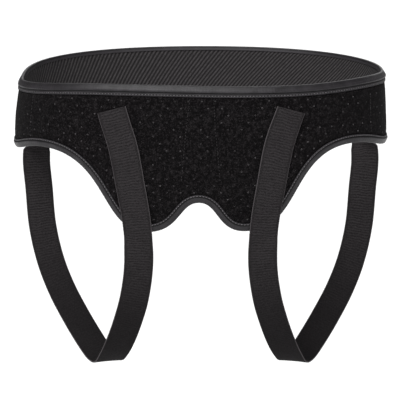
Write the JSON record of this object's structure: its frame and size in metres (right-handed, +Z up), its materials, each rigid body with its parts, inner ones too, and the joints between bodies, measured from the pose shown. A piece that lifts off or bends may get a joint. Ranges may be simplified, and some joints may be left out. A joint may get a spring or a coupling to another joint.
{
  "type": "hernia belt",
  "caption": "Pants-shaped hernia belt: closed padded hip band, front panel with lobes over both groins, taped edges and elastic leg straps from front to back.",
  "frame": {"origin": "middle of the wearer's hips, at the height where the band grips them", "axes": "+X to the wearer's left, +Y to the wearer's back, +Z up; the front panel is at -Y"},
  "size_m": [0.3984, 0.2551, 0.3258],
  "materials": {
    "fabric": "matt black loop fabric with small perforations",
    "lining": "dark grey lining with fine slanting ribs",
    "tape": "satin black binding tape, stitched",
    "webbing": "black ribbed elastic webbing",
    "hook": "matt black hook tape"
  },
  "bodies": {
    "root": {"outer_shell": "fabric", "lining": "lining", "top_binding": "tape", "bottom_binding": "tape", "right_strap": "webbing", "right_hook_patch": "hook", "left_strap": "webbing", "left_hook_patch": "hook"}
  },
  "joints": []
}
